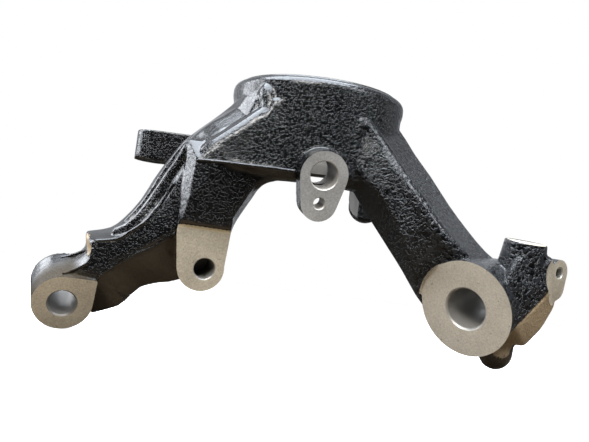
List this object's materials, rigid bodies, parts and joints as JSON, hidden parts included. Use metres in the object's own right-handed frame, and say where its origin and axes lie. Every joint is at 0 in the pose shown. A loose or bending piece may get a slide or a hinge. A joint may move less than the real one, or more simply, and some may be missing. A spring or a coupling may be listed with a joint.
{
  "type": "steering knuckle",
  "caption": "Cast steering knuckle: round bearing housing, an arm with an eye, an arm with a large bored boss, a sensor ear and machined lugs.",
  "frame": {"origin": "where the wheel bearing's axis meets the machined outboard face of the housing", "axes": "+Z outboard along the bearing's axis, +X from the steering eye towards the large boss, the eye, ear and boss faces look towards -Y"},
  "size_m": [0.3448, 0.1297, 0.1793],
  "materials": {
    "casting": "black-painted rough cast iron; bores, bosses and faces are machined bare"
  },
  "bodies": {
    "root": {"knuckle": "casting"}
  },
  "joints": []
}
